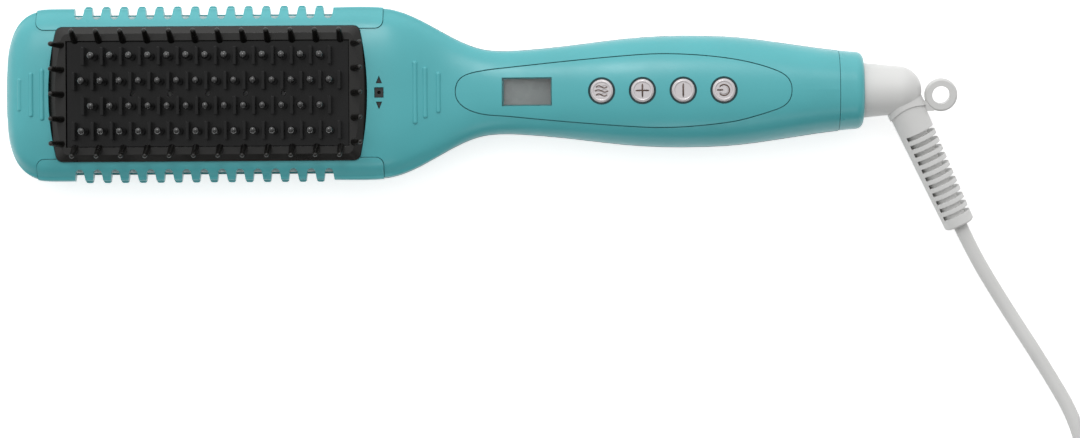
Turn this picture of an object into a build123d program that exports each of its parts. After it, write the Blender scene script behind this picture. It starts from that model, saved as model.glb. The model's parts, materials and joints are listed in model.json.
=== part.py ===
from build123d import *
import math
import os

# Heated steam brush lying on its back, bristles up. Units are millimetres.
# X runs from the tip of the head towards the mains lead, Y across the brush, Z up from the
# surface that the back rests on. The pieces are drawn by station, the distance from the tip,
# and save() moves them so that X = 0 lies midway between the tip and the hanging ring.

# ---- casing ----
CASING_LENGTH = 299.4
HEAD_HALF = 29.8
WAIST_HALF = 14.5
GRIP_HALF = 19.4
TAIL_HALF = 13.2
HEAD_END = 129.5
WAIST_AT = 172.0
GRIP_FROM = 234.0
GRIP_TO = 242.0
TAIL_EASE = 306.0
PARTING = 12.0
HEAD_FRONT = 22.5
FRONT_FALL_FROM = 131.0
DIP_FRONT = 18.5
DIP_AT = 156.0
GRIP_FRONT = 25.5
BACK_FLAT = 0.4
DIP_BACK = 2.0
TAIL_BACK = 0.5
TIP_REACH = 18.0
TIP_POWER = 3.0
TIP_RISE_REACH = 8.0
TIP_RISE_POWER = 2.4
HEAD_POWER = 2.8
GRIP_POWER = 2.3
END_ROUND = 2.4
WALL = 2.3
SEAM = 0.15
CAP_LENGTH = 8.5
BOSS_RADIUS = 2.6
BOSS_BURIED = 1.4
FOOT_BURIED = 0.15
TIP_RIDGES = ((5.5, 5.0), (9.5, 7.0), (13.3, 8.2))
NECK_RIDGES = ((142.9, 10.2), (146.4, 8.2), (151.0, 6.4))
RIDGE_RADIUS = 0.9
RIDGE_SUNK = 0.45

# ---- comb strips along both sides of the head ----
STRIP_FROM = 10.9
STRIP_TO = 132.0
STRIP_INNER = 22.4
STRIP_CORNER = 2.8
STRIP_PROUD = 0.4
COMB_CENTRE = 69.3
TOOTH_COUNT = 14
TOOTH_PITCH = 6.21
TOOTH_TIP_HALF = 30.8
TOOTH_THICK = 2.4
TOOTH_ROUND = 0.8
NOTCH_FLOOR_HALF = 26.1
NOTCH_FLOOR = 2.9
NOTCH_MOUTH = 4.1
BACK_RIM_HALF = 27.8

# ---- bristle pad ----
PAD_CENTRE = 70.95
PAD_LENGTH = 105.0
PAD_BULGE = 2.8
PAD_HALF = 23.4
PAD_CORNER = 2.5
PAD_SEAT = 19.0
PAD_SHOULDER = 21.6
PAD_TOP = 23.4
PAD_SLOPE_IN = 2.3
SEAT_DEPTH = 2.2
SEAT_MARGIN = 1.2
WINDOW_LENGTH = 98.4
WINDOW_HALF = 18.5
LIP = 2.0
PLATE_UNDER = 20.5
PLATE_THICK = 1.5
PLATE_GAP = 0.2
ROW_PITCH = 8.65
BRISTLE_PITCH = 6.57
ROW_COUNTS = (13, 14, 13, 14)
POST_RADIUS = 0.8
POST_TOP = 33.0
CAP_FOOT = 24.2
CAP_TOP = 35.6
CAP_RADIUS = 1.3
CAP_BORE_GAP = 0.05
BLADE_LENGTH = 6.2
BLADE_THICK = 1.1
BLADE_TOP = 30.0
STEAM_PORT_RADIUS = 0.8
STEAM_PORTS = 5
SIDE_BRISTLES = 12
SIDE_PITCH = 8.4
SIDE_ROOT_STEP = 0.3
END_BRISTLES = 5
END_PITCH = 8.6
END_ROOT_STEP = 1.4
ROOT_BURIED = 1.2
SPLAY = 14.5
FRAME_BRISTLE_LENGTH = 11.0
FRAME_BRISTLE_ROOT = 1.3
FRAME_BRISTLE_TIP = 0.85

# ---- heating stack ----
HEATER_LENGTH = 80.0
HEATER_WIDTH = 8.0
HEATER_THICK = 2.6
HEATER_OFFSET = 10.5
CLAMP_LENGTH = 80.0
CLAMP_HALF = 15.4
CLAMP_THICK = 0.8
CLAMP_GAP = 0.4
CLAMP_SCREW_RADIUS = 1.25
CHAMBER_LENGTH = 70.0
CHAMBER_HALF = 5.0
CHAMBER_DEPTH = 7.0
CHAMBER_WALL = 1.2
INLET_RISE = 1.9
SHIELD_UNDER = 11.1
SHIELD_THICK = 0.8
SHIELD_HALF = 21.0
SENSOR_AT = 114.5
SENSOR_RADIUS = 1.4
SENSOR_LENGTH = 7.0
FUSE_RADIUS = 1.7
FUSE_LENGTH = 10.0

# ---- water ----
TANK_FROM = 16.0
TANK_TO = 84.0
TANK_HALF = 20.0
TANK_FLAT_HALF = 9.5
TANK_FLOOR = 2.25
TANK_SHOULDER = 6.6
TANK_TOP = 11.0
TANK_WALL = 1.3
FILLER_Z = 7.0
FILLER_FROM = 2.4
FILLER_OUTER = 3.5
FILLER_BORE = 2.5
PLUG_FLANGE = 3.75
PLUG_FLANGE_THICK = 1.0
PLUG_GAP = 0.1
PLUG_DEPTH = 7.6
PUMP_FROM = 88.0
PUMP_LENGTH = 22.0
PUMP_Y = -10.0
PUMP_HALF = 5.5
PUMP_FLOOR = 3.2
PUMP_CLEAR = 0.3
TUBE_RADIUS = 1.5
TUBE_BORE = 1.0
TUBE_BEND = 2.0

# ---- outlet at the shoulder ----
MARK_AT = 130.5
ARROW_WIDTH = 2.2
ARROW_BASE = 3.2
ARROW_APEX = 5.9
SQUARE_LENGTH = 3.2
SQUARE_WIDTH = 3.6
MARK_GAP = 0.1
MARK_SUNK = 0.5
INSERT_HALF = 7.4
INSERT_LENGTH = 5.6
INSERT_THICK = 1.4
JET_RADIUS = 0.6
ION_LENGTH = 12.0
ION_HALF = 8.0
ION_FLOOR = 2.6
ION_TOP = 9.8
NEEDLE_RADIUS = 0.5
NEEDLE_GAP = 0.3

# ---- handle controls ----
FASCIA_THICK = 1.3
FASCIA_BED = 0.1
FASCIA_SEAM = 0.3
FASCIA_FROM = 156.8
FASCIA_TO = 274.1
FASCIA_PIECES = 8
FASCIA_HALVES = (
    (0.8, 3.1), (3.4, 5.9), (7.9, 7.3), (22.6, 9.1), (40.0, 10.8), (58.0, 12.3),
    (72.0, 13.0), (84.0, 12.5), (95.6, 11.2), (106.0, 8.95), (112.6, 6.4), (115.9, 3.75)
)
LENS_AT = 181.9
LENS_LENGTH = 17.5
LENS_WIDTH = 9.9
LENS_SUNK = 0.35
LENS_THICK = 0.8
LENS_LEDGE = 0.5
BUTTON_FIRST = 207.9
BUTTON_PITCH = 14.15
BUTTON_RADIUS = 4.0
BUTTON_HOLE = 4.75
BUTTON_PROUD = 0.15
BUTTON_TRAVEL = 0.5
BUTTON_GAP = 0.15
BUTTON_CHAMFER = 0.25
BEZEL_SUNK = 0.45
BEZEL_GAP = 0.03
FLANGE_UNDER_WALL = 0.45
FLANGE_THICK = 0.8
FLANGE_WIDER = 0.65
STEM_RADIUS = 1.5
STEM_GAP = 0.3
GLYPH_DEPTH = 0.25
GLYPH_LINE = 0.55
GLYPH_HALF = 1.9
WAVE_PITCH = 1.3
WAVE_SWING = 0.35

# ---- electronics ----
BOARD_FROM = 168.0
BOARD_TO = 262.0
BOARD_HALF = 8.5
BOARD_UNDER = 12.3
BOARD_THICK = 1.6
MODULE_LENGTH = 17.0
MODULE_HALF = 5.5
MODULE_THICK = 2.2
SWITCH_SIZE = 6.0
SWITCH_HEIGHT = 3.4
PLUNGER_RADIUS = 1.6
PLUNGER_TOP = 19.2
RELAY_FROM = 192.0
RELAY_LENGTH = 16.0
RELAY_DEPTH = 7.5
CAPACITOR_FROM = 214.0
CAPACITOR_LENGTH = 18.0
CAPACITOR_RADIUS = 4.5
CHOKE_FROM = 238.0
CHOKE_LENGTH = 12.0
CHOKE_DEPTH = 8.0
COMPONENT_HALF = 6.0
WIRE_RADIUS = 0.7

# ---- screws ----
CASING_SCREWS = ((9.0, 12.0), (9.0, -12.0), (137.5, 14.0), (137.5, -14.0), (271.0, 0.0))
BOARD_SCREWS = ((170.8, 6.0), (170.8, -6.0), (258.0, 6.0), (258.0, -6.0))
SCREW_SEAT = 6.0
SCREW_RADIUS = 1.2
SCREW_HEAD = 2.2
SCREW_HEAD_THICK = 1.4
SCREW_CLEAR = 0.1
SCREW_BITE = 4.5

# ---- cord swivel ----
SWIVEL_Z = 13.0
NECK_RADIUS = 9.7
NECK_BORE_GAP = 0.25
ELBOW_AT = 311.6
ELBOW_RADIUS = 8.4
SHAFT_RADIUS = 5.0
SHAFT_GAP = 0.08
SOCKET_FROM = 279.2
SOCKET_TO = 290.5
SOCKET_RADIUS = 7.6
FLANGE_FROM = 288.6
FLANGE_TO = 290.3
NECK_FROM = SOCKET_TO + 0.3
CONTACT_STATIONS = (281.7, 285.6)
CONTACT_WIDTH = 1.8
CONTACT_DEPTH = 1.0
SLOT_GAP = 0.3
LEAF_TOP = 22.5
LEAF_INNER = -0.2
LEAF_OUTER = 2.4
LEAF_GAP = 0.12
CLIP_RADIUS = 7.0
CLIP_THICK = 1.1
CLIP_GAP = 0.4
CLIP_PLAY = 0.1
CLIP_MOUTH = 4.4
SHAFT_NOSE = 1.0
BORE_RADIUS = 2.6

# ---- strain relief boot and ring ----
BOOT_ANGLE = 65.0
SWIVEL_REST = 8.9
BOOT_LENGTH = 52.6
BOOT_RADIUS = 6.6
BOOT_END_RADIUS = 5.4
GROOVE_COUNT = 11
GROOVE_FIRST = 17.0
GROOVE_PITCH = 3.1
GROOVE_WIDTH = 1.5
GROOVE_CORE = 4.2
WINDOW_CORE = 3.2
SPINE_OFFSET = 4.3
SPIGOT_RADIUS = 4.2
SPIGOT_FROM = 3.0
SPIGOT_TO = 11.0
COLLAR_RADIUS = 6.9
SADDLE_AT = 6.6
SADDLE_RADIUS = 11.0
RING_REACH = 15.2
RING_DROP = 1.7
RING_RADIUS = 5.75
RING_HOLE = 3.1
RING_THICK = 3.2
RING_CHAMFER = 0.6
WEB_DROP = 5.6
WEB_WIDTH = 3.4
WEB_THICK = 2.6
WEB_ROOT = 7.6
WEB_SHORT = 2.4

# ---- mains lead, in the object's own frame ----
LEAD_RADIUS = 2.5
LEAD_REST = 2.55
LEAD_STRAIGHT = 11.4
LEAD_ROUTE = (
    (182.8, -74.6, LEAD_REST),
    (196.6, -96.0, LEAD_REST),
    (209.8, -118.6, LEAD_REST),
    (213.6, -144.0, LEAD_REST),
)
COIL_X = 254.6
COIL_Y = -155.0
COIL_TURN_RADIUS = 40.6
COIL_TURNS_WIDE = 4.25
COIL_LAYERS = 2
TAIL_ROUTE = ((295.2, -155.0, 7.5), (295.6, -139.0, 6.2), (293.4, -123.5, 6.2))
PLUG_RELIEF = 18.0
PLUG_RELIEF_ROOT = 3.5
PLUG_RELIEF_END = 4.7
PLUG_LENGTH = 26.0
PLUG_WIDTH = 20.0
PLUG_THICK = 12.0
PLUG_CHAMFER = 2.5
BLADE_PIN_LENGTH = 16.0
BLADE_PIN_WIDTH = 6.3
BLADE_PIN_THICK = 1.5
BLADE_PIN_SPACING = 12.7
BLADE_PIN_ROOT = 5.0

# ---- sections that the casing's surface runs through ----
TIP_STEPS = (0.15, 0.6, 1.5, 3, 5, 8, 12, 17, 24, 33, 44)
END_STEPS = (10.0, 6.0, 3.6, 2.4, 1.5, 0.8, 0.3, 0.05)
HEAD_SPANS = 5
SHOULDER_SPANS = 8
GRIP_SPANS = 6
TAIL_SPANS = 4

CAP_FROM = CASING_LENGTH - CAP_LENGTH
BOARD_TOP = BOARD_UNDER + BOARD_THICK
PLATE_TOP = PLATE_UNDER + PLATE_THICK
CHAMBER_LOW = PLATE_UNDER - CHAMBER_DEPTH
HEATER_UNDER = PLATE_UNDER - HEATER_THICK
TUBE_RISE_AT = PUMP_FROM + PUMP_LENGTH / 4
REACH = ELBOW_AT + RING_REACH + RING_RADIUS
SHIFT = Pos(-REACH / 2, 0, 0)
FRAME = Pos(0, 0, 0)
WIDE = 50.0
TALL = 60.0


# ---- plain solids ----
def block(x0, x1, y0, y1, z0, z1):
    size = Box(abs(x1 - x0), abs(y1 - y0), abs(z1 - z0))
    return Pos((x0 + x1) / 2, (y0 + y1) / 2, (z0 + z1) / 2) * size


def post(x, y, z0, z1, radius):
    return Pos(x, y, (z0 + z1) / 2) * Cylinder(radius, z1 - z0)


def shaft(x0, x1, y, z, radius):
    return Pos((x0 + x1) / 2, y, z) * Rot(0, 90, 0) * Cylinder(radius, x1 - x0)


def group(solids):
    return Compound(children=solids)


def tube_along(points, radii, radius):
    path = FilletPolyline(*points, radius=radii)
    profile = Plane(origin=path @ 0, z_dir=path % 0) * Circle(radius)
    return sweep(profile, path=path)


def bend_radii(points):
    """Arcs as large as each corner's shorter run allows."""
    radii = []
    for before, corner, after in zip(points, points[1:], points[2:]):
        run_in = Vector(*corner) - Vector(*before)
        run_out = Vector(*after) - Vector(*corner)
        half_turn = math.radians(run_in.get_angle(run_out)) / 2
        radii.append(0.45 * min(run_in.length, run_out.length) / math.tan(half_turn))
    return radii


def wire_along(points):
    return tube_along(points, bend_radii(points), WIRE_RADIUS)


# ---- casing form ----
def eased(s, knots):
    """A value that runs level at each (station, value) knot and eases between them."""
    if s <= knots[0][0]:
        return knots[0][1]
    for (s0, v0), (s1, v1) in zip(knots, knots[1:]):
        if s <= s1:
            return v0 + (v1 - v0) * (1 - math.cos(math.pi * (s - s0) / (s1 - s0))) / 2
    return knots[-1][1]


def half_width(s):
    knots = (
        (HEAD_END, HEAD_HALF),
        (WAIST_AT, WAIST_HALF),
        (GRIP_FROM, GRIP_HALF),
        (GRIP_TO, GRIP_HALF),
        (TAIL_EASE, TAIL_HALF),
    )
    return eased(s, knots)


def front_at(s):
    return eased(s, ((FRONT_FALL_FROM, HEAD_FRONT), (DIP_AT, DIP_FRONT), (GRIP_FROM, GRIP_FRONT)))


def back_at(s):
    knots = ((HEAD_END, -BACK_FLAT), (DIP_AT, DIP_BACK), (GRIP_FROM, 0), (CASING_LENGTH, TAIL_BACK))
    return eased(s, knots)


def tip_share(s, reach, power):
    return 1 if s >= reach else (1 - (1 - s / reach) ** power) ** (1 / power)


def end_drop(s):
    turn = min(max((s - CASING_LENGTH + END_ROUND) / END_ROUND, 0), 0.98)
    return END_ROUND * (1 - math.sqrt(1 - turn**2))


def quadrant(s, side, rise, power):
    """A quarter of a rounded section, from its crown to its side at the parting plane."""
    turns = [math.radians(18 * k) for k in range(4, 0, -1)]
    inner = [
        (s, side * math.cos(a) ** (2 / power), PARTING + rise * math.sin(a) ** (2 / power))
        for a in turns
    ]
    points = [(s, 0, PARTING + rise), *inner, (s, side, PARTING)]
    ends = [(0, math.copysign(1, side), 0), (0, 0, -math.copysign(1, rise))]
    return Edge.make_spline(points, tangents=ends, parameters=[k / 5 for k in range(6)])


def section(s, inset, limit):
    power = eased(s, ((HEAD_END, HEAD_POWER), (WAIST_AT, GRIP_POWER)))
    wide = tip_share(s - inset, TIP_REACH, TIP_POWER)
    high = tip_share(s - inset, TIP_RISE_REACH, TIP_RISE_POWER)
    drop = end_drop(s)
    side = min(half_width(s) - drop - inset, limit) * wide
    front = (front_at(s) - PARTING - drop - inset) * high
    back = (PARTING - back_at(s) - drop - inset) * high
    edges = [
        quadrant(s, side, -back, power),
        quadrant(s, side, front, power),
        quadrant(s, -side, front, power),
        quadrant(s, -side, -back, power),
    ]
    return Wire(edges)


def spread(start, end, spans):
    return [start + (end - start) * k / spans for k in range(1, spans + 1)]


def casing(inset=0.0, limit=1000.0):
    """The brush's outer form, drawn in by inset, and no wider than limit each side."""
    tip = [inset + step for step in TIP_STEPS]
    end = [CASING_LENGTH - step for step in END_STEPS]
    stations = [
        *tip,
        *spread(tip[-1], HEAD_END, HEAD_SPANS),
        *spread(HEAD_END, WAIST_AT, SHOULDER_SPANS),
        *spread(WAIST_AT, GRIP_TO, GRIP_SPANS),
        *spread(GRIP_TO, end[0], TAIL_SPANS),
        *end[1:],
    ]
    return Solid.make_loft([section(s, inset, limit) for s in stations])


def crown_plane(s):
    """Plane on the front's centre line: its Z leaves the surface, its X crosses the brush."""
    slope = front_at(s + 0.5) - front_at(s - 0.5)
    return Plane(origin=(s, 0, front_at(s)), x_dir=(0, 1, 0), z_dir=(-slope, 0, 1))


def on_crown(s, drop, shape):
    return crown_plane(s).location * Pos(0, 0, -drop) * shape


# ---- outlines ----
def upright(outline, z0, z1):
    return extrude(Pos(0, 0, z0) * outline, amount=z1 - z0, dir=(0, 0, 1))


def pad_outline(grow):
    half = PAD_LENGTH / 2 + grow
    side = PAD_HALF + grow
    bulge = half + PAD_BULGE
    edges = [
        Line((-half, side), (half, side)),
        ThreePointArc((half, side), (bulge, 0), (half, -side)),
        Line((half, -side), (-half, -side)),
        ThreePointArc((-half, -side), (-bulge, 0), (-half, side)),
    ]
    face = make_face(edges)
    return Pos(PAD_CENTRE, 0) * fillet(face.vertices(), PAD_CORNER)


def window(inset, z0, z1):
    """The pad's rectangular opening, drawn in by inset on every side."""
    half = WINDOW_LENGTH / 2 - inset
    side = WINDOW_HALF - inset
    return block(PAD_CENTRE - half, PAD_CENTRE + half, -side, side, z0, z1)


def strip_pocket(side, gap):
    """Plan of the place that one comb strip fills. side is 1 or -1."""
    middle = (STRIP_FROM + STRIP_TO) / 2
    length = STRIP_TO - STRIP_FROM - 2 * gap
    depth = WIDE - STRIP_INNER
    centre = STRIP_INNER + gap + depth / 2
    return Pos(middle, side * centre) * RectangleRounded(length, depth, STRIP_CORNER)


def fascia_outline(gap):
    """The control panel's leaf shape, drawn in by gap."""
    upper = [(FASCIA_FROM + s, half) for s, half in FASCIA_HALVES]
    lower = [(s, -half) for s, half in reversed(upper)]
    ring = [Vector(*point) for point in [(FASCIA_FROM, 0), *upper, (FASCIA_TO, 0), *lower]]
    points = []
    for k, point in enumerate(ring):
        along = (ring[(k + 1) % len(ring)] - ring[k - 1]).normalized()
        points.append(point + Vector(along.Y, -along.X) * gap)
    ring = Spline(*points, periodic=True)
    pieces = []
    for k in range(FASCIA_PIECES):
        places = [(k + step / 3) / FASCIA_PIECES for step in range(4)]
        ends = [ring % places[0], ring % places[-1]]
        pieces.append(Spline(*[ring @ place for place in places], tangents=ends))
    return make_face(pieces)


def outlet_marks(gap):
    """Arrow, square and arrow that the outlet is cut as, drawn in by gap."""
    half = ARROW_WIDTH / 2 - gap
    base = ARROW_BASE + gap
    apex = ARROW_APEX - 2 * gap
    upper = Polygon((MARK_AT - half, base), (MARK_AT + half, base), (MARK_AT, apex), align=None)
    square = Pos(MARK_AT, 0) * Rectangle(SQUARE_LENGTH - 2 * gap, SQUARE_WIDTH - 2 * gap)
    return upper + square + mirror(upper, Plane.XZ)


def button_stations():
    return [BUTTON_FIRST + BUTTON_PITCH * k for k in range(4)]


def port_stations():
    return [PAD_CENTRE + 2 * BRISTLE_PITCH * (n - (STEAM_PORTS - 1) / 2) for n in range(STEAM_PORTS)]


def clamp_screw_stations():
    reach = (CHAMBER_LENGTH + CLAMP_LENGTH) / 4
    return (PAD_CENTRE - reach, PAD_CENTRE + reach)


# ---- shells ----
OUTER = casing()
CAVITY = casing(WALL, BACK_RIM_HALF - WALL)
STRIP_FORM = casing(-STRIP_PROUD)
FASCIA_FORM = casing(FASCIA_THICK)
FASCIA_SEAT = casing(FASCIA_THICK + FASCIA_BED)
ABOVE = block(-WIDE, CAP_FROM - SEAM, -WIDE, WIDE, PARTING, TALL)
BELOW = block(-WIDE, CAP_FROM - SEAM, -WIDE, WIDE, 0, PARTING)


def grip_ridges():
    """Raised finger ridges at the tip and at the shoulder."""
    bars = []
    for s, half in (*TIP_RIDGES, *NECK_RIDGES):
        rise = (front_at(s) - PARTING) * tip_share(s, TIP_RISE_REACH, TIP_RISE_POWER)
        slope = max(TIP_RISE_REACH / 2 - s / 2, 0) / TIP_RISE_REACH
        z = PARTING + rise - RIDGE_SUNK - slope
        bars.append(Pos(s, 0, z) * Rot(90, 0, 0) * Cylinder(RIDGE_RADIUS, 2 * half))
        bars += [Pos(s, y, z) * Sphere(RIDGE_RADIUS) for y in (half, -half)]
    return bars


def pad_room():
    return upright(pad_outline(SEAM), PAD_SEAT, TALL)


def pad_seat():
    half = PAD_LENGTH / 2 + PAD_BULGE + SEAT_MARGIN
    top = HEAD_FRONT - WALL + FOOT_BURIED
    return block(PAD_CENTRE - half, PAD_CENTRE + half, -STRIP_INNER, STRIP_INNER, PAD_SEAT - SEAT_DEPTH, top)


def front_shell():
    shell = (OUTER & ABOVE) - (CAVITY & ABOVE)
    bosses = [post(s, y, PARTING, front_at(s) - BOSS_BURIED, BOSS_RADIUS) for s, y in CASING_SCREWS]
    shell = shell + [pad_seat(), *bosses]
    for bar in grip_ridges():
        shell = shell + bar
    strips = [upright(strip_pocket(side, 0), PARTING - 1, TALL) for side in (1, -1)]
    marks = upright(outlet_marks(0), HEAD_FRONT - 2 * WALL, TALL)
    bore = SCREW_RADIUS + SCREW_CLEAR
    pilots = [post(s, y, PARTING - 1, PARTING + SCREW_BITE + SEAM, bore) for s, y in CASING_SCREWS]
    recess = upright(fascia_outline(0), PARTING + WALL, TALL) - FASCIA_SEAT
    bores = Cylinder(BUTTON_RADIUS + BUTTON_GAP, 4 * WALL)
    holes = [on_crown(s, 0, bores) for s in button_stations()]
    sight = on_crown(LENS_AT, 0, Box(LENS_WIDTH - 2 * LENS_LEDGE, LENS_LENGTH - 2 * LENS_LEDGE, 4 * WALL))
    return shell - [pad_room(), window(LIP, 0, TALL), *strips, marks, *pilots, recess, *holes, sight]


def back_shell():
    shell = (OUTER & BELOW) - (CAVITY & BELOW)
    foot = WALL - FOOT_BURIED
    wide = BOSS_RADIUS + 1
    bosses = [post(s, y, back_at(s) + foot, PARTING, wide) for s, y in CASING_SCREWS]
    seats = [post(s, y, back_at(s) + foot, BOARD_UNDER, BOSS_RADIUS) for s, y in BOARD_SCREWS]
    shell = shell + [*bosses, *seats]
    rims = [block(STRIP_FROM, STRIP_TO, side * BACK_RIM_HALF, side * WIDE, -WALL, TALL) for side in (1, -1)]
    bore = SCREW_RADIUS + SCREW_CLEAR
    heads = [post(s, y, -WALL, SCREW_SEAT, SCREW_HEAD + SCREW_CLEAR) for s, y in CASING_SCREWS]
    shanks = [post(s, y, 0, TALL, bore) for s, y in CASING_SCREWS]
    pilots = [post(s, y, BOARD_UNDER - SCREW_BITE - SEAM, TALL, bore) for s, y in BOARD_SCREWS]
    filler = shaft(-WALL, TANK_FROM, 0, FILLER_Z, FILLER_OUTER + SEAM)
    flange = shaft(-WALL, FILLER_FROM, 0, FILLER_Z, PLUG_FLANGE + SEAM)
    return shell - [*rims, *heads, *shanks, *pilots, filler, flange]


def comb_strip(side):
    foot = PARTING + SEAM
    body = upright(strip_pocket(side, SEAM), foot, TALL / 2) & STRIP_FORM
    first = COMB_CENTRE - TOOTH_PITCH * TOOTH_COUNT / 2
    last = first + TOOTH_PITCH * TOOTH_COUNT
    root = side * (NOTCH_FLOOR_HALF - 1)
    tips = block(first, last, root, side * TOOTH_TIP_HALF, foot, PARTING + TOOTH_THICK)
    notches = [notch(first + TOOTH_PITCH * k, side) for k in range(TOOTH_COUNT + 1)]
    comb = body + tips - notches - pad_room()
    corners = [edge for edge in comb.edges().filter_by(Axis.Z) if abs(edge.center().Y) > TOOTH_TIP_HALF - SEAM]
    return fillet(corners, TOOTH_ROUND)


def notch(s, side):
    """The gap between two comb teeth, round at its floor."""
    centre = side * (NOTCH_FLOOR_HALF + NOTCH_FLOOR / 2)
    outside = side * (TOOTH_TIP_HALF + 1)
    throat = Polygon(
        (s - NOTCH_FLOOR / 2, centre),
        (s + NOTCH_FLOOR / 2, centre),
        (s + NOTCH_MOUTH / 2, outside),
        (s - NOTCH_MOUTH / 2, outside),
        align=None,
    )
    return upright(throat + Pos(s, centre) * Circle(NOTCH_FLOOR / 2), PARTING - 1, TALL)


def tail_cap():
    cap = OUTER & block(CAP_FROM, CASING_LENGTH + WALL, -WIDE, WIDE, -WALL, TALL)
    return cap - shaft(CAP_FROM - 1, CASING_LENGTH + 1, 0, SWIVEL_Z, NECK_RADIUS + NECK_BORE_GAP)


def casing_screws():
    screws = []
    for s, y in CASING_SCREWS:
        head = post(s, y, SCREW_SEAT - SCREW_HEAD_THICK, SCREW_SEAT, SCREW_HEAD)
        screws.append(head + post(s, y, SCREW_SEAT - SEAM, PARTING + SCREW_BITE, SCREW_RADIUS))
    return group(screws)


# ---- controls ----
def control_fascia():
    plate = (upright(fascia_outline(FASCIA_SEAM), PARTING + WALL, TALL / 2) & OUTER) - FASCIA_FORM
    holes = [on_crown(s, 0, Cylinder(BUTTON_HOLE, 4 * WALL)) for s in button_stations()]
    return plate - [*holes, on_crown(LENS_AT, 0, Box(LENS_WIDTH, LENS_LENGTH, 4 * WALL))]


def display_lens():
    glass = Box(LENS_WIDTH - 2 * SEAM, LENS_LENGTH - 2 * SEAM, LENS_THICK)
    return on_crown(LENS_AT, LENS_SUNK + LENS_THICK / 2, glass)


def button_bezels():
    ring = Cylinder(BUTTON_HOLE - BEZEL_GAP, FASCIA_THICK - BEZEL_SUNK)
    ring -= Cylinder(BUTTON_RADIUS + BUTTON_GAP, FASCIA_THICK)
    drop = (FASCIA_THICK + BEZEL_SUNK) / 2
    return group([on_crown(s, drop, ring) for s in button_stations()])


def glyph(kind):
    """Flat symbol with its top towards the head."""
    if kind == "plus":
        bar = Rectangle(2 * GLYPH_HALF, GLYPH_LINE)
        return bar + Rot(0, 0, 90) * bar
    if kind == "minus":
        return Rectangle(2 * GLYPH_HALF, GLYPH_LINE)
    if kind == "power":
        ring = Circle(GLYPH_HALF) - Circle(GLYPH_HALF - GLYPH_LINE)
        ring -= Pos(0, GLYPH_HALF) * Rectangle(3 * GLYPH_LINE, GLYPH_HALF)
        return ring + Pos(0, GLYPH_HALF * 0.75) * Rectangle(GLYPH_LINE, GLYPH_HALF)
    waves = []
    for x in (-WAVE_PITCH, 0, WAVE_PITCH):
        half = GLYPH_HALF
        bend = WAVE_SWING
        line = Spline((x, -half), (x + bend, -half / 2), (x, 0), (x - bend, half / 2), (x, half))
        waves.append(trace(line, GLYPH_LINE * 0.8))
    return waves[0] + waves[1] + waves[2]


def button(kind, s):
    """Round cap with a flange under the casing and a stem over its switch."""
    floor = WALL + FLANGE_UNDER_WALL
    crown = Pos(0, 0, (BUTTON_PROUD - floor) / 2) * Cylinder(BUTTON_RADIUS, BUTTON_PROUD + floor)
    crown = chamfer(crown.edges().group_by(Axis.Z)[-1], BUTTON_CHAMFER)
    flange_radius = BUTTON_RADIUS + BUTTON_GAP + FLANGE_WIDER
    flange = Pos(0, 0, -floor - FLANGE_THICK / 2) * Cylinder(flange_radius, FLANGE_THICK)
    stem_top = floor + FLANGE_THICK
    stem_end = front_at(s) - PLUNGER_TOP - BUTTON_TRAVEL - STEM_GAP
    body = crown + flange
    if stem_end > stem_top:
        body += Pos(0, 0, -(stem_end + stem_top) / 2) * Cylinder(STEM_RADIUS, stem_end - stem_top)
    sign = extrude(Pos(0, 0, BUTTON_PROUD - GLYPH_DEPTH) * glyph(kind), amount=1)
    return on_crown(s, 0, body - sign)


# ---- electronics ----
def main_board():
    board = block(BOARD_FROM, BOARD_TO, -BOARD_HALF, BOARD_HALF, BOARD_UNDER, BOARD_TOP)
    return board - [post(s, y, 0, TALL, SCREW_RADIUS + SCREW_CLEAR) for s, y in BOARD_SCREWS]


def display_module():
    half = MODULE_LENGTH / 2
    top = BOARD_TOP + MODULE_THICK
    return block(LENS_AT - half, LENS_AT + half, -MODULE_HALF, MODULE_HALF, BOARD_TOP, top)


def tact_switches():
    half = SWITCH_SIZE / 2
    top = BOARD_TOP + SWITCH_HEIGHT
    switches = []
    for s in button_stations():
        case = block(s - half, s + half, -half, half, BOARD_TOP, top)
        switches.append(case + post(s, 0, top - SEAM, PLUNGER_TOP, PLUNGER_RADIUS))
    return group(switches)


def board_components():
    under = BOARD_UNDER
    side = COMPONENT_HALF
    relay = block(RELAY_FROM, RELAY_FROM + RELAY_LENGTH, -side, side, under - RELAY_DEPTH, under)
    choke = block(CHOKE_FROM, CHOKE_FROM + CHOKE_LENGTH, -side, side, under - CHOKE_DEPTH, under)
    capacitor_to = CAPACITOR_FROM + CAPACITOR_LENGTH
    capacitor = shaft(CAPACITOR_FROM, capacitor_to, 0, under - CAPACITOR_RADIUS, CAPACITOR_RADIUS)
    return group([relay, capacitor, choke])


def board_screws():
    screws = []
    for s, y in BOARD_SCREWS:
        head = post(s, y, BOARD_TOP, BOARD_TOP + SCREW_HEAD_THICK, SCREW_HEAD)
        screws.append(head + post(s, y, BOARD_UNDER - SCREW_BITE, BOARD_TOP + SEAM, SCREW_RADIUS))
    return group(screws)


# ---- bristle pad ----
def bristle_rows():
    """Y and the stations of the bristles, row by row from +Y."""
    rows = []
    for k, count in enumerate(ROW_COUNTS):
        y = ROW_PITCH * ((len(ROW_COUNTS) - 1) / 2 - k)
        rows.append((y, [PAD_CENTRE + BRISTLE_PITCH * (n - (count - 1) / 2) for n in range(count)]))
    return rows


def frame_bristle():
    stem = Cone(FRAME_BRISTLE_ROOT, FRAME_BRISTLE_TIP, FRAME_BRISTLE_LENGTH)
    top = Pos(0, 0, FRAME_BRISTLE_LENGTH) * Sphere(FRAME_BRISTLE_TIP)
    return Pos(0, 0, FRAME_BRISTLE_LENGTH / 2) * stem + top


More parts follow.
